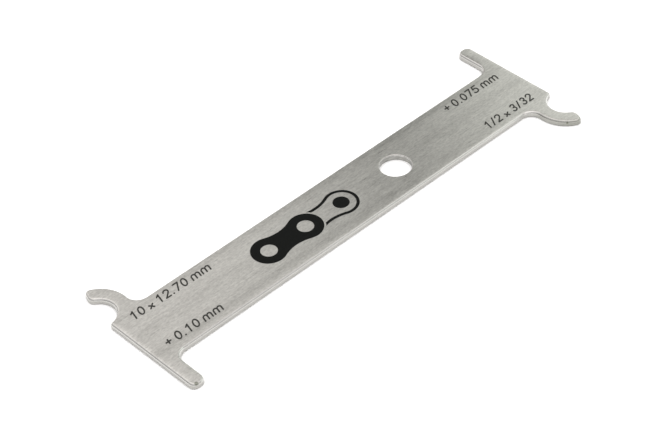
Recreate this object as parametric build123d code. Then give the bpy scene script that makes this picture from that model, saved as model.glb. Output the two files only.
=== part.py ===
from build123d import *
from math import acos, asin, atan2, cos, degrees, radians, sin, sqrt, tan
import os

# Wear gauge for bicycle roller chain: one flat stainless steel plate with a hook and a prong at each end.
# A hook seats on one roller and the prong at the other end of the same long edge drops in front of another
# roller once the links between them have stretched by the printed amount.
#
# Frame: millimetres, +X along the plate towards the 0.075 prong, +Z out of the printed face.
# The origin is under the centre of the plate, on the plane that it lies on.

# --- what the gauge measures -------------------------------------------------------------------------------
chain_pitch = 12.7
roller_diameter = 7.75
links_spanned = 10
wear_per_link_upper = 0.075
wear_per_link_lower = 0.100

# --- plate -------------------------------------------------------------------------------------------------
plate_length = 124.4
body_width = 18.2
thickness = 1.6
edge_round = 0.4

# --- prong -------------------------------------------------------------------------------------------------
prong_reach = 10.35
prong_width = 3.85
prong_tip_radius = 1.7
prong_root_radius = 2.75

# --- hook --------------------------------------------------------------------------------------------------
seat_radius = 4.47
seat_depth = 3.79
hook_width = 3.78
hook_root_radius = 2.9
hook_tip_angle = 251.5
hook_tip_outer_radius = 1.15
hook_tip_inner_radius = 1.75
shoulder_radius = 0.62

# --- hanging hole ------------------------------------------------------------------------------------------
hole_diameter = 7.8
hole_x = 17.45
hole_edge_round = 0.15

# --- print -------------------------------------------------------------------------------------------------
ink_thickness = 0.03
print_turn = -0.2
figure_height = 2.7
figure_stroke = 0.4
figure_slant = 13.0
figure_gap = 0.34
digit_width = 1.68
space_width = 0.4
left_margin_x = -58.1
right_margin_x = 57.85
upper_line_y = 4.83
lower_line_y = -6.88

emblem_x = -11.5
emblem_pitch = 11.2
emblem_height = 8.6
emblem_waist_radius = 9.5
emblem_pin_diameter = 4.0
emblem_line = 0.75
emblem_gap = 0.45

end_x = plate_length / 2
edge_y = body_width / 2
same_level = 0.01


def span_of(wear_per_link):
    """Distance from a hook seat to the far prong's outer face that just fits links worn by this much."""
    return links_spanned * (chain_pitch + wear_per_link) - roller_diameter


def polar(center, radius, angle):
    """The point at a distance and an angle in degrees from a centre."""
    return (center[0] + radius * cos(radians(angle)), center[1] + radius * sin(radians(angle)))


def end_edges(seat_x):
    """Edges of the end at +X, from the -Y long edge round the hook, the end edge and the prong to +Y.

    seat_x is the bottom of the hook's seat. The x where the hook's root leaves the -Y edge and the x where
    the prong's root meets the +Y edge are returned with them.
    """
    seat = (seat_x + seat_radius, -edge_y - seat_depth)
    back_radius = seat_radius + hook_width

    root_y = -edge_y - hook_root_radius
    root_x = seat[0] - sqrt((hook_root_radius + back_radius) ** 2 - (seat[1] - root_y) ** 2)
    root = (root_x, root_y)
    back_start = degrees(atan2(root[1] - seat[1], root[0] - seat[0]))

    outer_turn = degrees(asin(hook_tip_outer_radius / (back_radius - hook_tip_outer_radius)))
    inner_turn = degrees(asin(hook_tip_inner_radius / (seat_radius + hook_tip_inner_radius)))
    tip_outer = polar(seat, back_radius - hook_tip_outer_radius, hook_tip_angle - outer_turn)
    tip_inner = polar(seat, seat_radius + hook_tip_inner_radius, hook_tip_angle - inner_turn)
    tip_side = hook_tip_angle + 90

    shoulder_x = end_x - shoulder_radius
    shoulder_rise = sqrt((seat_radius + shoulder_radius) ** 2 - (seat[0] - shoulder_x) ** 2)
    shoulder = (shoulder_x, seat[1] + shoulder_rise)
    seat_end = degrees(acos((shoulder[0] - seat[0]) / (seat_radius + shoulder_radius)))

    prong_y = edge_y + prong_reach
    prong_x = end_x - prong_width
    tip_y = prong_y - prong_tip_radius
    tip_right = (end_x - prong_tip_radius, tip_y)
    tip_left = (prong_x + prong_tip_radius, tip_y)
    prong_root = (prong_x - prong_root_radius, edge_y + prong_root_radius)

    hook = [
        CenterArc(root, hook_root_radius, 90, back_start - 180 - 90),
        CenterArc(seat, back_radius, back_start, hook_tip_angle - outer_turn - back_start),
        CenterArc(tip_outer, hook_tip_outer_radius, hook_tip_angle - outer_turn, 90 + outer_turn),
        Line(polar(tip_outer, hook_tip_outer_radius, tip_side),
             polar(tip_inner, hook_tip_inner_radius, tip_side)),
        CenterArc(tip_inner, hook_tip_inner_radius, tip_side, 90 - inner_turn),
        CenterArc(seat, seat_radius, hook_tip_angle - inner_turn, seat_end - hook_tip_angle + inner_turn),
        CenterArc(shoulder, shoulder_radius, seat_end - 180, 180 - seat_end),
    ]
    prong = [
        Line((end_x, shoulder[1]), (end_x, tip_y)),
        CenterArc(tip_right, prong_tip_radius, 0, 90),
        Line((tip_right[0], prong_y), (tip_left[0], prong_y)),
        CenterArc(tip_left, prong_tip_radius, 90, 90),
        Line((prong_x, tip_y), (prong_x, prong_root[1])),
        CenterArc(prong_root, prong_root_radius, 0, -90),
    ]
    return hook + prong, root_x, prong_root[0]


def plate_outline():
    """The plate's outline as one closed face. The end at -X is the same shape turned by half a turn."""
    lower_seat_x = span_of(wear_per_link_lower) - end_x
    upper_seat_x = span_of(wear_per_link_upper) - end_x
    right_edges, right_hook_root, right_prong_root = end_edges(lower_seat_x)
    turned_edges, left_hook_root, left_prong_root = end_edges(upper_seat_x)
    half_turn = Location((0, 0, 0), (0, 0, 180))
    left_edges = [half_turn * edge for edge in turned_edges]
    upper_edge = Line((right_prong_root, edge_y), (-left_hook_root, edge_y))
    lower_edge = Line((-left_prong_root, -edge_y), (right_hook_root, -edge_y))
    return make_face(right_edges + [upper_edge] + left_edges + [lower_edge])


def is_hole_rim(edge):
    """True for a whole circle, which only the hole has."""
    return edge.geom_type == GeomType.CIRCLE and edge.is_closed


def gauge_plate():
    """The stamped plate with its hanging hole. Tumbling rounded its outer rims more than the hole's."""
    blank = extrude(plate_outline(), amount=thickness)
    hole = Pos(hole_x, 0, thickness / 2) * Cylinder(hole_diameter / 2, 2 * thickness)
    blank = blank - hole
    face_levels = (0.0, thickness)
    rims = [edge for edge in blank.edges() if any(abs(edge.center().Z - z) < same_level for z in face_levels)]
    rounded = fillet([edge for edge in rims if not is_hole_rim(edge)], edge_round)
    return fillet([edge for edge in rounded.edges() if is_hole_rim(edge)], hole_edge_round)


def pen(line):
    """A drawn line of the pen's width, with round ends."""
    ends = [Pos(line @ 0) * Circle(figure_stroke / 2), Pos(line @ 1) * Circle(figure_stroke / 2)]
    return trace([line], figure_stroke) + ends


def arc_pen(center, radius, start, sweep):
    """A drawn arc, from start through sweep, both in degrees."""
    return pen(CenterArc(center, radius, start, sweep))


def sum_faces(faces):
    """The faces joined into one sketch."""
    joined = faces[0]
    for face in faces[1:]:
        joined = joined + face
    return joined


def line_pen(*points):
    """Drawn straight runs through the points."""
    return sum_faces([pen(Line(a, b)) for a, b in zip(points, points[1:])])


# Each glyph is a function that gives its upright face, drawn from x = 0 on the base line, and its width.
# Points are on the middle of the pen's line, so they run from low to high and from left to right.
low = figure_stroke / 2
high = figure_height - figure_stroke / 2
middle = figure_height / 2
left = figure_stroke / 2
right = digit_width - figure_stroke / 2


def glyph_zero():
    outside = Ellipse(digit_width / 2, middle)
    inside = Ellipse(digit_width / 2 - figure_stroke, middle - figure_stroke)
    return Pos(digit_width / 2, middle) * (outside - inside), digit_width


def glyph_one():
    flag_x = 0.36
    flag_drop = 0.5
    stem_x = 0.92
    return line_pen((flag_x, high - flag_drop), (stem_x, high), (stem_x, low)), digit_width


def glyph_two():
    bowl = (right - left) / 2
    center = (left + bowl, high - bowl)
    start_angle = 165
    tail_angle = -40
    tail = line_pen(polar(center, bowl, tail_angle), (left, low), (right, low))
    return arc_pen(center, bowl, start_angle, tail_angle - start_angle) + tail, digit_width


def glyph_three():
    upper_bowl = 0.55
    lower_bowl = (high - low) / 2 - upper_bowl
    center_x = right - lower_bowl
    upper_start_angle = 155
    sweep = -245
    upper_arc = arc_pen((center_x, high - upper_bowl), upper_bowl, upper_start_angle, sweep)
    lower_arc = arc_pen((center_x, low + lower_bowl), lower_bowl, 90, sweep)
    return upper_arc + lower_arc, digit_width


def glyph_five():
    bowl = 0.74
    center = (right - bowl, low + bowl)
    bowl_angle = 130
    sweep = -275
    flag_inset = 0.22
    flag = line_pen((right, high), (left + flag_inset, high), polar(center, bowl, bowl_angle))
    return flag + arc_pen(center, bowl, bowl_angle, sweep), digit_width


def glyph_seven():
    foot_x = 0.6
    return line_pen((left, high), (right, high), (foot_x, low)), digit_width


def glyph_point():
    radius = 0.55 * figure_stroke
    width = 0.66
    return Pos(width / 2, radius) * Circle(radius), width


def glyph_plus():
    reach = 0.62
    across = line_pen((left, middle), (left + 2 * reach, middle))
    upright = line_pen((left + reach, middle - reach), (left + reach, middle + reach))
    return across + upright, 2 * reach + figure_stroke


def glyph_times():
    size = 1.05
    rising = line_pen((left, low), (left + size, low + size))
    falling = line_pen((left, low + size), (left + size, low))
    return rising + falling, size + figure_stroke


def glyph_slash():
    lean = 0.75
    return line_pen((left, low), (left + lean, high)), lean + figure_stroke


def glyph_m():
    arch = 0.54
    leg_height = 1.2
    legs = [line_pen((left + 2 * n * arch, low), (left + 2 * n * arch, leg_height)) for n in range(3)]
    arches = [arc_pen((left + (2 * n + 1) * arch, leg_height), arch, 180, -180) for n in range(2)]
    return sum_faces(legs + arches), 4 * arch + figure_stroke


def glyph_space():
    return None, space_width


glyphs = {
    "0": glyph_zero,
    "1": glyph_one,
    "2": glyph_two,
    "3": glyph_three,
    "5": glyph_five,
    "7": glyph_seven,
    ".": glyph_point,
    "+": glyph_plus,
    "x": glyph_times,
    "/": glyph_slash,
    "m": glyph_m,
    " ": glyph_space,
}


def figure_length(text):
    """Length of a line of figures from its first stroke to its last."""
    widths = [glyphs[character]()[1] for character in text]
    return sum(widths) + figure_gap * (len(text) - 1)


def film(faces):
    """The faces made into ink, as a flat list of solids."""
    return [solid for face in faces for solid in extrude(face, amount=ink_thickness).solids()]


def printed_figures(text, start_x, base_y):
    """A line of slanted figures as thin solids on the top face."""
    faces = []
    x = 0.0
    for character in text:
        face, width = glyphs[character]()
        if face is not None:
            faces.append(Pos(x, 0) * face)
        x += width + figure_gap
    slant = Matrix([[1, tan(radians(figure_slant)), 0, 0],
                    [0, 1, 0, 0],
                    [0, 0, 1, 0]])
    solids = [solid.transform_geometry(slant) for solid in film(faces)]
    return Rot(0, 0, print_turn) * Pos(start_x, base_y, thickness) * Compound(solids)


def link_face(left_x, growth=0.0):
    """A chain link plate from a pin at left_x to the next pin: two round ends joined by a hollow waist.

    growth moves the whole outline outwards by a distance, or inwards where it is negative.
    """
    end_radius = emblem_height / 2
    half_pitch = emblem_pitch / 2
    reach = end_radius + emblem_waist_radius
    waist_y = sqrt(reach ** 2 - half_pitch ** 2)
    end = Circle(end_radius + growth)
    hollow = Circle(emblem_waist_radius - growth)
    touch_x = half_pitch * emblem_waist_radius / reach
    touch_y = waist_y * (end_radius + growth) / reach
    web = Rectangle(2 * touch_x, 2 * touch_y) - Pos(0, waist_y) * hollow - Pos(0, -waist_y) * hollow
    return Pos(left_x, 0) * end + Pos(left_x + emblem_pitch, 0) * end + Pos(left_x + half_pitch, 0) * web


def printed_emblem():
    """A pictogram of two chain links: a solid one in front and an outlined one that runs behind it."""
    first_x = emblem_x - emblem_pitch
    pin = Circle(emblem_pin_diameter / 2)
    front = link_face(first_x) - Pos(first_x, 0) * pin - Pos(emblem_x, 0) * pin
    behind = link_face(emblem_x) - link_face(emblem_x, -emblem_line) - link_face(first_x, emblem_gap)
    last_pin = Pos(emblem_x + emblem_pitch, 0) * pin
    return Rot(0, 0, print_turn) * Pos(0, 0, thickness) * Compound(film([front, behind, last_pin]))


def wear_figure(wear_per_link, places):
    """The text printed for a wear per link, such as + 0.10 mm."""
    return "+ " + format(wear_per_link, "." + str(places) + "f") + " mm"


def nodes():
    """Every node by name."""
    upper_figure = wear_figure(wear_per_link_upper, 3)
    lower_figure = wear_figure(wear_per_link_lower, 2)
    size_figure = "1/2 x 3/32"
    length_figure = str(links_spanned) + " x " + format(chain_pitch, ".2f") + " mm"
    upper_figure_x = right_margin_x - figure_length(upper_figure)
    size_figure_x = right_margin_x - figure_length(size_figure)
    return {
        "gauge_plate": gauge_plate(),
        "ink_wear_075": printed_figures(upper_figure, upper_figure_x, upper_line_y),
        "ink_wear_100": printed_figures(lower_figure, left_margin_x, lower_line_y),
        "ink_gauge_length": printed_figures(length_figure, left_margin_x, upper_line_y),
        "ink_chain_size": printed_figures(size_figure, size_figure_x, lower_line_y),
        "ink_chain_emblem": printed_emblem(),
    }


os.makedirs("parts", exist_ok=True)
for name, shape in nodes().items():
    export_step(shape, "parts/" + name + ".step")
    print(name, "volume", round(shape.volume, 3))
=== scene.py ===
"""Looks of the chain wear gauge: a brushed stainless plate with rolled edges, and its printed figures."""
from math import acos, asin, atan2, ceil, cos, hypot, pi, radians, sin, sqrt

import bmesh
import bpy
from mathutils import Matrix, Vector
from mathutils.geometry import delaunay_2d_cdt
from mathutils.kdtree import KDTree


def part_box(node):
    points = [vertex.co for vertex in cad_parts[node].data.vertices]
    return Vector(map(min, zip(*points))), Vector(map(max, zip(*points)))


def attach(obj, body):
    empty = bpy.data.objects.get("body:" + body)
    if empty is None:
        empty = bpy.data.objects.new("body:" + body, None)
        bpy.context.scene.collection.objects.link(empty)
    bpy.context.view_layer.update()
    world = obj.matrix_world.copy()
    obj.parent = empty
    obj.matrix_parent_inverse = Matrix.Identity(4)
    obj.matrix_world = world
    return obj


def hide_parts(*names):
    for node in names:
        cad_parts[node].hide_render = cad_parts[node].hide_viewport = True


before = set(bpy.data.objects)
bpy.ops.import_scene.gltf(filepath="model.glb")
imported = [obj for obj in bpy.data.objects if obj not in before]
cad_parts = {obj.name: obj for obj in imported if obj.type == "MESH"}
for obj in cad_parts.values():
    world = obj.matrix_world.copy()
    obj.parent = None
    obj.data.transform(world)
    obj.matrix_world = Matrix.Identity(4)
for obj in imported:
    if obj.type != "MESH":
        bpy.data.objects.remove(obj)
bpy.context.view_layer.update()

MM = 0.001

# --- plate, in millimetres: its size is read from the frame, the rest repeats the drawing ------------------
plate_low, plate_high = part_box("gauge_plate")
PLATE_LENGTH = (plate_high[0] - plate_low[0]) / MM
THICKNESS = (plate_high[2] - plate_low[2]) / MM
BODY_WIDTH = 18.2
END_X = PLATE_LENGTH / 2
EDGE_Y = BODY_WIDTH / 2
LOWER_SEAT_X = 120.25 - END_X
UPPER_SEAT_X = 120.0 - END_X

PRONG_REACH = 10.35
PRONG_WIDTH = 3.85
PRONG_TIP_RADIUS = 1.7
PRONG_ROOT_RADIUS = 2.75
SEAT_RADIUS = 4.47
SEAT_DEPTH = 3.79
HOOK_WIDTH = 3.78
HOOK_ROOT_RADIUS = 2.9
HOOK_TIP_ANGLE = radians(251.5)
HOOK_TIP_OUTER_RADIUS = 1.15
HOOK_TIP_INNER_RADIUS = 1.75
SHOULDER_RADIUS = 0.62
HOLE_RADIUS = 3.9
HOLE_X = 17.45

# --- how the press and the tumbling barrel left the edges --------------------------------------------------
ROLL_WIDTH = 0.56
ROLL_DEPTH = 0.7
HOLE_ROUND = 0.15
BACK_ROUND_WIDTH = 0.42
BACK_ROUND_DEPTH = 0.3
SAG_WIDTH = 1.8
SAG_DEPTH = 0.012
# Down the sheared wall: how far it lies inside the outline, and its share of the wall's height.
SHEAR_STEPS = ((0.0, 0.18), (0.004, 0.36), (0.036, 0.46), (0.040, 0.55), (0.026, 0.68), (0.008, 0.85))
SAFE_INSET = 0.5
ARC_STEP = 0.16
LINE_STEP = 0.8
GRID_STEP = 2.2
GRID_CLEARANCE = 2.5

# --- steel: colours, and where it is darker, dirty or carries painted shade, in metres ---------------------
BRUSHED_DARK = (0.465, 0.459, 0.43, 1.0)
BRUSHED_LIGHT = (0.785, 0.775, 0.73, 1.0)
ROLL_DARK = (0.60, 0.595, 0.575, 1.0)
ROLL_LIGHT = (0.70, 0.695, 0.67, 1.0)
# The sheared wall's colours are darker than the roll's. Part of this is the sheared finish, and part is
# painted shade against the bright floor that the wall mirrors.
SHEARED_AND_SHADED_DARK = (0.385, 0.381, 0.362, 1.0)
SHEARED_AND_SHADED_LIGHT = (0.47, 0.465, 0.44, 1.0)
DARKER_HOOK_COLOR = (0.22, 0.225, 0.19, 1.0)
# Painted shade: the colour that the hanging hole's wall is darkened towards.
HOLE_SHADE_COLOR = (0.2, 0.2, 0.185, 1.0)
STAIN_COLOR = (0.10, 0.11, 0.07, 1.0)
LOWER_BAND_Y = -0.0066
LOWER_BAND_WIDTH = 0.0011
UPPER_BAND_Y = 0.0075
UPPER_BAND_WIDTH = 0.0005
DARKER_HOOK_SHARE = 0.55
# How strongly painted shade darkens the hanging hole's wall.
HOLE_SHADE_SHARE = 0.45
# A stain is its place, its radius and how strong it is.
PRONG_STAIN = ((-0.06102, -0.0191, 0.0015), 0.0007, 0.75)
HOOK_STAIN = ((0.0566, -0.0187, 0.0011), 0.0004, 0.8)

# --- camera, in metres and degrees -------------------------------------------------------------------------
CAMERA_AZIMUTH = radians(-41.067)
CAMERA_ELEVATION = radians(41.606)
CAMERA_ROLL = radians(-4.116)
CAMERA_TARGET = Vector((-0.00437, -0.00144, 0.0))
CAMERA_DISTANCE = 0.4758
CAMERA_LENS = 112.44
SENSOR_WIDTH = 36.0

# --- light tent: brightness of its panels from -X to +X, and how it changes with height ---------------------
TENT_PANELS = ((-1.0, 0.70), (-0.4, 0.78), (0.12, 1.16), (0.34, 0.69), (0.46, 0.68), (0.53, 0.68),
               (0.60, 1.22), (0.75, 1.1), (1.0, 1.0))
FLOOR_LIGHT_SPREAD = radians(100.0)
FLOOR_LIGHT_STRENGTH = 1.6
LOW_SHARE = 0.74
HIGH_SHARE = 1.42
LOW_HEIGHT = 0.35
HIGH_HEIGHT = 0.95
LEFT_HORIZON_SHARE = 0.86
BACK_HORIZON_SHARE = 1.7
HORIZON_BAND = 0.36
FRONT_SHARE = 1.22
LEFT_TINT = (1.0, 0.975, 0.972, 1.0)
RIGHT_TINT = (0.985, 1.0, 0.972, 1.0)
CARD_DIRECTION = (0.522, 0.56, 0.643)
CARD_ABOVE_X = 0.027
CARD_DISTANCE = 0.30
CARD_HALF_WIDTH = 0.075
CARD_HALF_LENGTH = 0.20
CARD_DARKNESS = 0.84


# --- outline -----------------------------------------------------------------------------------------------
def polar(center, radius, angle):
    return (center[0] + radius * cos(angle), center[1] + radius * sin(angle))


def arc_points(center, radius, start, sweep):
    """Points and outward normals along an arc. A negative sweep is a hollow in the outline."""
    count = max(3, ceil(abs(sweep) * radius / ARC_STEP))
    side = 1 if sweep > 0 else -1
    samples = []
    for step in range(count):
        angle = start + sweep * step / count
        samples.append((*polar(center, radius, angle), side * cos(angle), side * sin(angle)))
    return samples


def line_points(start, end):
    """Points and outward normals along a straight stretch that has the plate on its left."""
    length = hypot(end[0] - start[0], end[1] - start[1])
    count = max(1, ceil(length / LINE_STEP))
    normal = ((end[1] - start[1]) / length, (start[0] - end[0]) / length)
    return [(start[0] + (end[0] - start[0]) * step / count,
             start[1] + (end[1] - start[1]) * step / count, *normal) for step in range(count)]


def end_outline(seat_x):
    """One end of the plate, from the hook's root on the -Y edge to the prong's root on the +Y edge."""
    seat = (seat_x + SEAT_RADIUS, -EDGE_Y - SEAT_DEPTH)
    back_radius = SEAT_RADIUS + HOOK_WIDTH
    root_y = -EDGE_Y - HOOK_ROOT_RADIUS
    root_x = seat[0] - sqrt((HOOK_ROOT_RADIUS + back_radius) ** 2 - (seat[1] - root_y) ** 2)
    back_start = atan2(root_y - seat[1], root_x - seat[0]) % (2 * pi)

    outer_turn = asin(HOOK_TIP_OUTER_RADIUS / (back_radius - HOOK_TIP_OUTER_RADIUS))
    inner_turn = asin(HOOK_TIP_INNER_RADIUS / (SEAT_RADIUS + HOOK_TIP_INNER_RADIUS))
    tip_outer = polar(seat, back_radius - HOOK_TIP_OUTER_RADIUS, HOOK_TIP_ANGLE - outer_turn)
    tip_inner = polar(seat, SEAT_RADIUS + HOOK_TIP_INNER_RADIUS, HOOK_TIP_ANGLE - inner_turn)
    tip_side = HOOK_TIP_ANGLE + pi / 2

    shoulder_x = END_X - SHOULDER_RADIUS
    rise = sqrt((SEAT_RADIUS + SHOULDER_RADIUS) ** 2 - (seat[0] - shoulder_x) ** 2)
    shoulder = (shoulder_x, seat[1] + rise)
    seat_end = acos((shoulder_x - seat[0]) / (SEAT_RADIUS + SHOULDER_RADIUS))

    prong_y = EDGE_Y + PRONG_REACH
    prong_x = END_X - PRONG_WIDTH
    tip_y = prong_y - PRONG_TIP_RADIUS
    tip_right = (END_X - PRONG_TIP_RADIUS, tip_y)
    tip_left = (prong_x + PRONG_TIP_RADIUS, tip_y)
    prong_root = (prong_x - PRONG_ROOT_RADIUS, EDGE_Y + PRONG_ROOT_RADIUS)

    hook = [
        *arc_points((root_x, root_y), HOOK_ROOT_RADIUS, pi / 2, back_start - 1.5 * pi),
        *arc_points(seat, back_radius, back_start, HOOK_TIP_ANGLE - outer_turn - back_start),
        *arc_points(tip_outer, HOOK_TIP_OUTER_RADIUS, HOOK_TIP_ANGLE - outer_turn, pi / 2 + outer_turn),
        *line_points(polar(tip_outer, HOOK_TIP_OUTER_RADIUS, tip_side),
                     polar(tip_inner, HOOK_TIP_INNER_RADIUS, tip_side)),
        *arc_points(tip_inner, HOOK_TIP_INNER_RADIUS, tip_side, pi / 2 - inner_turn),
        *arc_points(seat, SEAT_RADIUS, HOOK_TIP_ANGLE - inner_turn, seat_end - HOOK_TIP_ANGLE + inner_turn),
        *arc_points(shoulder, SHOULDER_RADIUS, seat_end - pi, pi - seat_end),
    ]
    prong = [
        *line_points((END_X, shoulder[1]), (END_X, tip_y)),
        *arc_points(tip_right, PRONG_TIP_RADIUS, 0, pi / 2),
        *line_points((tip_right[0], prong_y), (tip_left[0], prong_y)),
        *arc_points(tip_left, PRONG_TIP_RADIUS, pi / 2, pi / 2),
        *line_points((prong_x, tip_y), (prong_x, prong_root[1])),
        *arc_points(prong_root, PRONG_ROOT_RADIUS, 0, -pi / 2),
    ]
    return hook + prong, root_x, prong_root[0]


def plate_outline():
    """The whole outline, counter-clockwise: both ends, one turned by half a turn, and the long edges."""
    right, right_hook_x, right_prong_x = end_outline(LOWER_SEAT_X)
    turned, left_hook_x, left_prong_x = end_outline(UPPER_SEAT_X)
    left = [(-x, -y, -nx, -ny) for x, y, nx, ny in turned]
    upper = line_points((right_prong_x, EDGE_Y), (-left_hook_x, EDGE_Y))
    lower = line_points((-left_prong_x, -EDGE_Y), (right_hook_x, -EDGE_Y))
    return right + upper + left + lower


def hole_outline():
    """The hanging hole, clockwise, so that its normals point out of the metal."""
    return arc_points((HOLE_X, 0.0), HOLE_RADIUS, 0, -2 * pi)


# --- edge profile ------------------------------------------------------------------------------------------
def rolled_drop(inset, width, depth):
    """How far a face has sunk at a distance inside its edge, for a quarter-ellipse edge."""
    if inset >= width:
        return 0.0
    share = 1.0 - inset / width
    return depth * (1.0 - sqrt(1.0 - share * share))


def sag_drop(inset, depth):
    """The shallow dip outside the edge's own round, where the punch pulled the face down."""
    share = max(0.0, 1.0 - inset / SAG_WIDTH)
    return depth * share * share


def edge_rings(width, depth, sag, count):
    """(inset, drop) pairs from the wall to the safe inset, closest together near the wall."""
    last_angle = acos(max(0.0, 1.0 - SAFE_INSET / width)) if SAFE_INSET < width else pi / 2
    insets = [width * (1.0 - cos(last_angle * step / count)) for step in range(count + 1)]
    if insets[-1] < SAFE_INSET:
        insets.append(SAFE_INSET)
    return [(inset, rolled_drop(inset, width, depth) + sag_drop(inset, sag)) for inset in insets]


def wall_profile(face_round, back_round, sag):
    """(inset, z) pairs down one edge, from the printed face's side to the back face's side.

    Each round is its width and its depth.
    """
    face = [(inset, THICKNESS - drop) for inset, drop in edge_rings(*face_round, sag, 9)]
    back = [(inset, drop) for inset, drop in edge_rings(*back_round, 0.0, 6)]
    land_top = face[0][1]
    land_height = land_top - back[0][1]
    wall = [(inset, land_top - share * land_height) for inset, share in SHEAR_STEPS]
    return list(reversed(face)) + wall + back


def add_wall(mesh, outline, profile):
    """A strip of quads round an outline. Returns the vertices of its first and last ring."""
    rings = []
    for inset, z in profile:
        rings.append([mesh.verts.new(((x - nx * inset) * MM, (y - ny * inset) * MM, z * MM))
                      for x, y, nx, ny in outline])
    count = len(outline)
    for upper, lower in zip(rings, rings[1:]):
        for n in range(count):
            after = (n + 1) % count
            mesh.faces.new((upper[n], lower[n], lower[after], upper[after]))
    return rings[0], rings[-1]


def inner_points(outlines):
    """Points inside the faces' first ring, with their inset: rings where the metal is wide, and a grid."""
    samples = [(x, y) for outline in outlines for x, y, _, _ in outline]
    tree = KDTree(len(samples))
    for index, (x, y) in enumerate(samples):
        tree.insert((x, y, 0.0), index)
    tree.balance()
    points = []
    for inset in (0.64, 0.8, 1.0, 1.25, 1.5, 1.8, 2.15):
        for x, y, nx, ny in outlines[0][::2]:
            px, py = x - nx * inset, y - ny * inset
            if tree.find((px, py, 0.0))[2] > inset * 0.985:
                points.append((px, py, inset))
    for column in range(-28, 29):
        for row in range(-9, 10):
            px, py = column * GRID_STEP + 0.3 * (row % 2), row * GRID_STEP
            distance = tree.find((px, py, 0.0))[2]
            in_metal = is_inside(px, py, outlines[0]) and not is_inside(px, py, outlines[1])
            if distance > GRID_CLEARANCE and in_metal:
                points.append((px, py, distance))
    for inset in (0.62, 0.9, 1.4, 2.0):
        for x, y, nx, ny in outlines[1][::4]:
            points.append((x - nx * inset, y - ny * inset, SAG_WIDTH))
    return points


def is_inside(x, y, outline):
    inside = False
    previous = outline[-1]
    for point in outline:
        if (point[1] > y) != (previous[1] > y):
            cross_x = point[0] + (y - point[1]) * (previous[0] - point[0]) / (previous[1] - point[1])
            if x < cross_x:
                inside = not inside
        previous = point
    return inside


def add_face(mesh, rings, points, up):
    """Fills a face between its rings with triangles that run through the points."""
    ring_verts = [vert for ring in rings for vert in ring]
    flat = [Vector((vert.co.x / MM, vert.co.y / MM)) for vert in ring_verts]
    flat += [Vector((x, y)) for x, y, _ in points]
    edges = []
    start = 0
    for ring in rings:
        count = len(ring)
        edges += [(start + n, start + (n + 1) % count) for n in range(count)]
        start += count
    _, _, triangles, origins, _, _ = delaunay_2d_cdt(flat, edges, [], 1, 1e-5)
    added = [mesh.verts.new((x * MM, y * MM, z * MM)) for x, y, z in points]
    verts = ring_verts + added
    hole_ring = set(rings[1])
    for triangle in triangles:
        corners = [verts[origins[n][0]] for n in triangle]
        if hole_ring.issuperset(corners):
            continue
        mesh.faces.new(corners if up else corners[::-1])


def build_plate():
    """The plate's mesh: walls round the outline and the hole, then both faces."""
    outline = plate_outline()
    hole = hole_outline()
    mesh = bmesh.new()
    edge_profile = wall_profile((ROLL_WIDTH, ROLL_DEPTH), (BACK_ROUND_WIDTH, BACK_ROUND_DEPTH), SAG_DEPTH)
    hole_profile = wall_profile((HOLE_ROUND, HOLE_ROUND), (HOLE_ROUND, HOLE_ROUND), 0.0)
    outer_top, outer_back = add_wall(mesh, outline, edge_profile)
    hole_top, hole_back = add_wall(mesh, hole, hole_profile)
    points = inner_points([outline, hole])
    top_points = [(x, y, THICKNESS - sag_drop(inset, SAG_DEPTH)) for x, y, inset in points]
    back_points = [(x, y, 0.0) for x, y, _ in points]
    add_face(mesh, [outer_top, hole_top], top_points, True)
    add_face(mesh, [outer_back, hole_back], back_points, False)
    bmesh.ops.recalc_face_normals(mesh, faces=mesh.faces)
    data = bpy.data.meshes.new("plate")
    mesh.to_mesh(data)
    mesh.free()
    data.shade_smooth()
    plate = bpy.data.objects.new("stamped_plate", data)
    bpy.context.scene.collection.objects.link(plate)
    return plate


# --- materials ---------------------------------------------------------------------------------------------
class Nodes:
    """A short way to add nodes to a material or world and join them."""

    def __init__(self, tree):
        self.tree = tree
        tree.nodes.clear()

    def add(self, kind, settings=None, **inputs):
        node = self.tree.nodes.new(kind)
        for name, value in (settings or {}).items():
            setattr(node, name, value)
        for name, value in inputs.items():
            socket = node.inputs[int(name[1:])] if name[0] == "_" else node.inputs[name.replace("_", " ")]
            if isinstance(value, bpy.types.NodeSocket):
                self.tree.links.new(value, socket)
            else:
                socket.default_value = value
        return node

    def maths(self, operation, a, b=0.0):
        return self.add("ShaderNodeMath", {"operation": operation}, _0=a, _1=b).outputs[0]

    def remap(self, value, from_low, from_high, to_low, to_high, smooth=False):
        kind = "SMOOTHSTEP" if smooth else "LINEAR"
        return self.add("ShaderNodeMapRange", {"interpolation_type": kind}, _0=value, _1=from_low,
                        _2=from_high, _3=to_low, _4=to_high).outputs[0]

    def noise(self, position, scale, detail=2.0, offset=(0.0, 0.0, 0.0)):
        """Noise with its own number of features per metre along each axis, from 0 to 1."""
        spot = self.add("ShaderNodeMapping", None, Vector=position, Location=offset, Scale=scale).outputs[0]
        return self.add("ShaderNodeTexNoise", None, Vector=spot, Scale=1.0, Detail=detail).outputs[0]

    def stripe(self, value, middle, width, amount):
        """A soft stripe of that amount where the value is near the middle."""
        offset = self.maths("DIVIDE", self.maths("SUBTRACT", value, middle), width)
        shape = self.maths("EXPONENT", self.maths("MULTIPLY", self.maths("MULTIPLY", offset, offset), -1.0))
        return self.maths("MULTIPLY", shape, amount)

    def distance(self, position, place):
        settings = {"operation": "DISTANCE"}
        return self.add("ShaderNodeVectorMath", settings, _0=position, _1=place).outputs["Value"]

    def mix(self, share, a, b):
        node = self.add("ShaderNodeMix", {"data_type": "RGBA"}, _0=share)
        for socket, value in ((node.inputs[6], a), (node.inputs[7], b)):
            if isinstance(value, bpy.types.NodeSocket):
                self.tree.links.new(value, socket)
            else:
                socket.default_value = value
        return node.outputs[2]


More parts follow.
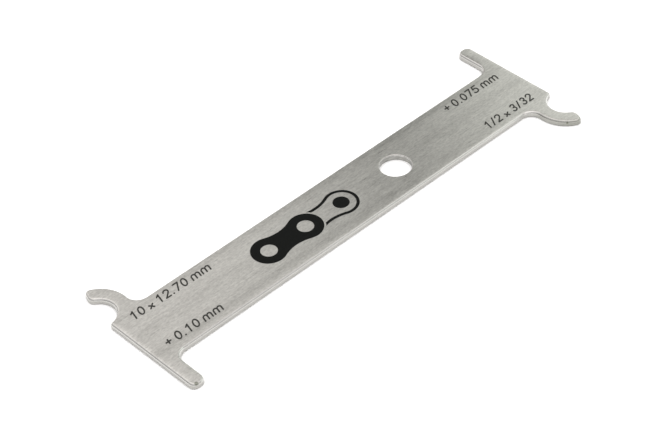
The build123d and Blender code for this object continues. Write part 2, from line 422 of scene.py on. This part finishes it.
def brushed_color(n, position, grain):
    """The colour of the brushed faces: soft bands, grooves and speckle, and a darker band near each edge."""
    lengthways, sideways, _ = n.add("ShaderNodeSeparateXYZ", None, _0=position).outputs
    bands = n.noise(position, (10.0, 260.0, 260.0), 1.0)
    speckle = n.noise(position, (1500.0, 3400.0, 3400.0), 2.0, (8.0, 2.0, 6.0))
    wander = n.noise(position, (18.0, 60.0, 60.0), 1.0, (5.0, 2.0, 7.0))
    tone = n.maths("ADD", n.maths("MULTIPLY", bands, 0.3), n.maths("MULTIPLY", grain, 0.7))
    tone = n.maths("ADD", tone, n.remap(speckle, 0.2, 0.8, -0.22, 0.22))

    fade = n.remap(lengthways, -0.025, 0.03, 1.0, 0.3)
    lower_amount = n.maths("MULTIPLY", n.remap(wander, 0.3, 0.7, 0.34, 0.16), fade)
    upper_amount = n.remap(wander, 0.3, 0.7, 0.25, 0.1)
    lower_band = n.stripe(sideways, LOWER_BAND_Y, LOWER_BAND_WIDTH, lower_amount)
    upper_band = n.stripe(sideways, UPPER_BAND_Y, UPPER_BAND_WIDTH, upper_amount)
    tone = n.maths("SUBTRACT", n.remap(tone, 0.2, 0.8, 0.0, 1.0), n.maths("ADD", lower_band, upper_band))
    return n.mix(tone, BRUSHED_DARK, BRUSHED_LIGHT)


def edge_color(n, position, mottle):
    """Edge colour: a bright roll, a sheared wall darkened by its finish and by painted shade, a darker hook,
    painted shade in the hole.
    """
    lengthways, sideways, height = n.add("ShaderNodeSeparateXYZ", None, _0=position).outputs
    # Below the roll the wall takes the sheared colours, which carry painted shade as well as the sheared
    # finish.
    rolled = n.remap(height, (THICKNESS - 0.8 * ROLL_DEPTH) * MM, (THICKNESS - 0.35 * ROLL_DEPTH) * MM,
                     0.0, 1.0)
    color = n.mix(rolled, n.mix(mottle, SHEARED_AND_SHADED_DARK, SHEARED_AND_SHADED_LIGHT), n.mix(mottle, ROLL_DARK, ROLL_LIGHT))
    # The edges of the right hook are made darker and greener.
    at_right_end = n.remap(lengthways, 0.050, 0.058, 0.0, DARKER_HOOK_SHARE, True)
    on_hook = n.remap(sideways, -0.0125, -0.0100, 1.0, 0.0, True)
    color = n.mix(n.maths("MULTIPLY", at_right_end, on_hook), color, DARKER_HOOK_COLOR)

    # Painted shade inside the hanging hole: its wall is darkened in uneven patches, and the darkening fades
    # out towards the rim.
    hole_shade_patches = n.noise(position, (900.0, 900.0, 1400.0), 3.0, (2.0, 7.0, 1.0))
    hole_shade_amount = n.remap(hole_shade_patches, 0.35, 0.65, HOLE_SHADE_SHARE - 0.25, HOLE_SHADE_SHARE + 0.2)
    from_hole = n.distance(position, (HOLE_X * MM, 0.0, THICKNESS / 2 * MM))
    painted_hole_shade = n.remap(from_hole, (HOLE_RADIUS + 0.13) * MM, (HOLE_RADIUS + 0.3) * MM, hole_shade_amount, 0.0)
    return n.mix(painted_hole_shade, color, HOLE_SHADE_COLOR)


def add_stains(n, position, pits, color):
    """The colour with a small ragged stain on the left prong and one on the right hook."""
    for place, radius, depth in (PRONG_STAIN, HOOK_STAIN):
        ragged = n.maths("MULTIPLY", n.distance(position, place), n.remap(pits, 0.3, 0.7, 0.7, 1.4))
        color = n.mix(n.remap(ragged, radius * 0.4, radius, depth, 0.0, True), color, STAIN_COLOR)
    return color


def brushed_stainless():
    """Sheet steel brushed along X, with tumbled edges and a sheared wall."""
    material = bpy.data.materials.new("brushed_stainless")
    material.use_nodes = True
    n = Nodes(material.node_tree)
    position = n.add("ShaderNodeTexCoord").outputs["Object"]
    height = n.add("ShaderNodeSeparateXYZ", None, _0=position).outputs[2]
    face = n.remap(height, (THICKNESS - 0.12) * MM, (THICKNESS - 0.004) * MM, 0.0, 1.0, True)
    back = n.remap(height, 0.002 * MM, 0.1 * MM, 1.0, 0.0, True)
    brushed = n.maths("MAXIMUM", face, back)

    streaks = n.noise(position, (150.0, 1900.0, 1900.0), 2.0, (4.0, 9.0, 2.0))
    hairs = n.noise(position, (380.0, 5200.0, 5200.0), 3.0, (7.0, 3.0, 5.0))
    grain = n.maths("ADD", n.maths("MULTIPLY", streaks, 0.45), n.maths("MULTIPLY", hairs, 0.55))
    mottle = n.noise(position, (260.0, 260.0, 260.0), 3.0, (1.0, 6.0, 8.0))
    pits = n.noise(position, (5200.0, 5200.0, 5200.0), 3.0, (3.0, 1.0, 4.0))
    color = n.mix(brushed, edge_color(n, position, mottle), brushed_color(n, position, grain))
    color = add_stains(n, position, pits, color)

    face_roughness = n.remap(grain, 0.3, 0.7, 0.27, 0.37)
    edge_roughness = n.remap(mottle, 0.3, 0.7, 0.13, 0.22)
    roughness = n.add("ShaderNodeMix", None, _0=brushed, _2=edge_roughness, _3=face_roughness).outputs[0]

    groove_bump = n.add("ShaderNodeBump", None, Strength=n.maths("MULTIPLY", brushed, 0.35),
                        Distance=0.000006, Height=grain).outputs[0]
    pit_strength = n.remap(brushed, 0.0, 1.0, 0.25, 0.05)
    bump = n.add("ShaderNodeBump", None, Strength=pit_strength, Distance=0.00001, Height=pits,
                 Normal=groove_bump).outputs[0]

    shader = n.add("ShaderNodeBsdfPrincipled", None, Base_Color=color, Metallic=1.0, Roughness=roughness,
                   Anisotropic=0.8, Normal=bump)
    tangent = n.add("ShaderNodeTangent", {"direction_type": "UV_MAP", "uv_map": "grain"})
    n.tree.links.new(tangent.outputs[0], shader.inputs["Tangent"])
    output = n.add("ShaderNodeOutputMaterial")
    n.tree.links.new(shader.outputs[0], output.inputs[0])
    return material


def add_grain_map(plate):
    """A flat map whose first axis runs across the brushing, in metres."""
    layer = plate.data.uv_layers.new(name="grain")
    for loop in plate.data.loops:
        place = plate.data.vertices[loop.vertex_index].co
        layer.data[loop.index].uv = (place.y + 0.3 * place.z, place.x)


def printed_ink(name, color, wear, gloss):
    """Thin black print that the brushing shows through where it is worn."""
    material = bpy.data.materials.new(name)
    material.use_nodes = True
    n = Nodes(material.node_tree)
    position = n.add("ShaderNodeTexCoord").outputs["Object"]
    speckle = n.noise(position, (3500.0, 3500.0, 3500.0), 3.0)
    drag = n.noise(position, (160.0, 5200.0, 5200.0), 2.0, (2.0, 8.0, 1.0))
    cover = n.maths("ADD", n.maths("MULTIPLY", speckle, 0.6), n.maths("MULTIPLY", drag, 0.4))
    thin = n.remap(cover, 0.5, 0.75, 0.0, wear)
    light = tuple(channel * 2.0 + 0.02 for channel in color)
    shade = n.mix(thin, (*color, 1.0), (*light, 1.0))
    roughness = n.remap(cover, 0.3, 0.7, 0.42, 0.58)
    bump = n.add("ShaderNodeBump", None, Strength=0.15, Distance=0.000008, Height=cover).outputs[0]
    shader = n.add("ShaderNodeBsdfPrincipled", None, Base_Color=shade, Roughness=roughness,
                   Specular_IOR_Level=gloss, Normal=bump)
    output = n.add("ShaderNodeOutputMaterial")
    n.tree.links.new(shader.outputs[0], output.inputs[0])
    return material


# --- pieces ------------------------------------------------------------------------------------------------
def make_plate():
    plate = build_plate()
    add_grain_map(plate)
    plate.data.materials.append(brushed_stainless())
    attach(plate, "root")
    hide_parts("gauge_plate")


def ink_the_print():
    """The printed nodes keep their shape from the frame and get their ink."""
    figure_ink = printed_ink("figure_ink", (0.026, 0.026, 0.023), 0.4, 0.17)
    emblem_ink = printed_ink("emblem_ink", (0.003, 0.0035, 0.003), 0.15, 0.07)
    for name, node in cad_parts.items():
        if not name.startswith("ink_"):
            continue
        ink = emblem_ink if name == "ink_chain_emblem" else figure_ink
        for slot in node.material_slots:
            slot.material = ink


# --- stage -------------------------------------------------------------------------------------------------
def make_floor():
    """A plain pale floor that runs far enough to meet the background in every view."""
    data = bpy.data.meshes.new("floor")
    size = 3.0
    level = -0.00002
    corners = [(-size, -size, level), (size, -size, level), (size, size, level), (-size, size, level)]
    data.from_pydata(corners, [], [(0, 1, 2, 3)])
    floor = bpy.data.objects.new("floor", data)
    bpy.context.scene.collection.objects.link(floor)
    material = bpy.data.materials.new("floor_paint")
    material.use_nodes = True
    n = Nodes(material.node_tree)
    shader = n.add("ShaderNodeBsdfDiffuse", None, Color=(0.93, 0.93, 0.93, 1.0))
    output = n.add("ShaderNodeOutputMaterial")
    n.tree.links.new(shader.outputs[0], output.inputs[0])
    data.materials.append(material)


def make_sky():
    """A white light tent, dimmer toward the horizon on the left, in front of a white backdrop."""
    world = bpy.data.worlds.new("tent")
    bpy.context.scene.world = world
    world.use_nodes = True
    n = Nodes(world.node_tree)
    direction = n.add("ShaderNodeTexCoord").outputs["Generated"]
    across, depth, height = n.add("ShaderNodeSeparateXYZ", None, _0=direction).outputs
    panels = n.add("ShaderNodeValToRGB", None, _0=n.remap(across, -1.0, 1.0, 0.0, 1.0))
    ramp = panels.color_ramp
    ramp.interpolation = "B_SPLINE"
    while len(ramp.elements) < len(TENT_PANELS):
        ramp.elements.new(0.5)
    for element, (place, brightness) in zip(ramp.elements, TENT_PANELS):
        element.position = (place + 1.0) / 2.0
        element.color = (brightness, brightness, brightness, 1.0)
    away = n.remap(n.maths("ADD", across, n.maths("MULTIPLY", depth, 0.35)), -0.6, 0.8,
                   LEFT_HORIZON_SHARE, BACK_HORIZON_SHARE)
    rise = n.maths("MULTIPLY", n.remap(height, LOW_HEIGHT, HIGH_HEIGHT, LOW_SHARE, HIGH_SHARE, True),
                   n.remap(height, 0.0, HORIZON_BAND, away, 1.0, True))
    front = n.remap(depth, -0.9, 0.1, FRONT_SHARE, 1.0, True)
    strength = n.maths("MULTIPLY", n.maths("MULTIPLY", panels.outputs[0], front), rise)
    side = n.remap(across, 0.44, 0.52, 0.0, 1.0, True)
    tint = n.mix(side, LEFT_TINT, RIGHT_TINT)
    lighting = n.add("ShaderNodeBackground", None, Color=tint, Strength=strength).outputs[0]
    backdrop = n.add("ShaderNodeBackground", None, Color=(1.0, 1.0, 1.0, 1.0), Strength=1.0).outputs[0]
    seen = n.add("ShaderNodeLightPath").outputs["Is Camera Ray"]
    mixed = n.add("ShaderNodeMixShader", None, _0=seen, _1=lighting, _2=backdrop)
    output = n.add("ShaderNodeOutputWorld")
    n.tree.links.new(mixed.outputs[0], output.inputs[0])


def add_floor_light():
    """A wide soft light over the floor. The steel doesn't mirror it, because the tent is what it mirrors."""
    data = bpy.data.lights.new("floor_light", "SUN")
    data.angle = FLOOR_LIGHT_SPREAD
    data.energy = FLOOR_LIGHT_STRENGTH
    light = bpy.data.objects.new("floor_light", data)
    light.visible_glossy = False
    bpy.context.scene.collection.objects.link(light)


def add_dark_card():
    """A grey card with feathered edges above the plate, which only the steel mirrors."""
    half_width, half_length = CARD_HALF_WIDTH, CARD_HALF_LENGTH
    data = bpy.data.meshes.new("dark_card")
    corners = [(-half_width, -half_length, 0.0), (half_width, -half_length, 0.0),
               (half_width, half_length, 0.0), (-half_width, half_length, 0.0)]
    data.from_pydata(corners, [], [(0, 1, 2, 3)])
    card = bpy.data.objects.new("dark_card", data)
    toward = Vector(CARD_DIRECTION).normalized()
    side = (Vector((1.0, 0.0, 0.0)) - toward * toward.x).normalized()
    turn = Matrix((side, toward.cross(side), toward)).transposed().to_4x4()
    card.matrix_world = Matrix.Translation(Vector((CARD_ABOVE_X, 0.0, 0.0)) + toward * CARD_DISTANCE) @ turn
    bpy.context.scene.collection.objects.link(card)
    for ray in ("camera", "diffuse", "transmission", "shadow"):
        setattr(card, "visible_" + ray, False)

    material = bpy.data.materials.new("card_felt")
    material.use_nodes = True
    n = Nodes(material.node_tree)
    place = n.add("ShaderNodeTexCoord").outputs["Object"]
    across, along, _ = n.add("ShaderNodeSeparateXYZ", None, _0=place).outputs
    cover = n.stripe(across, 0.0, half_width * 0.55, n.stripe(along, 0.0, half_length * 0.6, CARD_DARKNESS))
    clear = n.add("ShaderNodeBsdfTransparent").outputs[0]
    dark = n.add("ShaderNodeBsdfDiffuse", None, Color=(0.02, 0.02, 0.02, 1.0)).outputs[0]
    shader = n.add("ShaderNodeMixShader", None, _0=cover, _1=clear, _2=dark)
    output = n.add("ShaderNodeOutputMaterial")
    n.tree.links.new(shader.outputs[0], output.inputs[0])
    data.materials.append(material)


def make_camera():
    azimuth, elevation = CAMERA_AZIMUTH, CAMERA_ELEVATION
    back = Vector((sin(azimuth) * cos(elevation), -cos(azimuth) * cos(elevation), sin(elevation)))
    level = Vector((cos(azimuth), sin(azimuth), 0.0))
    upright = back.cross(level)
    right = level * cos(CAMERA_ROLL) + upright * sin(CAMERA_ROLL)
    up = upright * cos(CAMERA_ROLL) - level * sin(CAMERA_ROLL)
    data = bpy.data.cameras.new("camera")
    data.sensor_width = SENSOR_WIDTH
    data.lens = CAMERA_LENS
    data.clip_start = 0.01
    data.clip_end = 20.0
    camera = bpy.data.objects.new("camera", data)
    turn = Matrix((right, up, back)).transposed().to_4x4()
    camera.matrix_world = Matrix.Translation(CAMERA_TARGET + back * CAMERA_DISTANCE) @ turn
    bpy.context.scene.collection.objects.link(camera)
    bpy.context.scene.camera = camera


make_camera()
make_plate()
ink_the_print()
make_floor()
make_sky()
add_floor_light()
add_dark_card()
bpy.context.scene.view_settings.view_transform = "Standard"
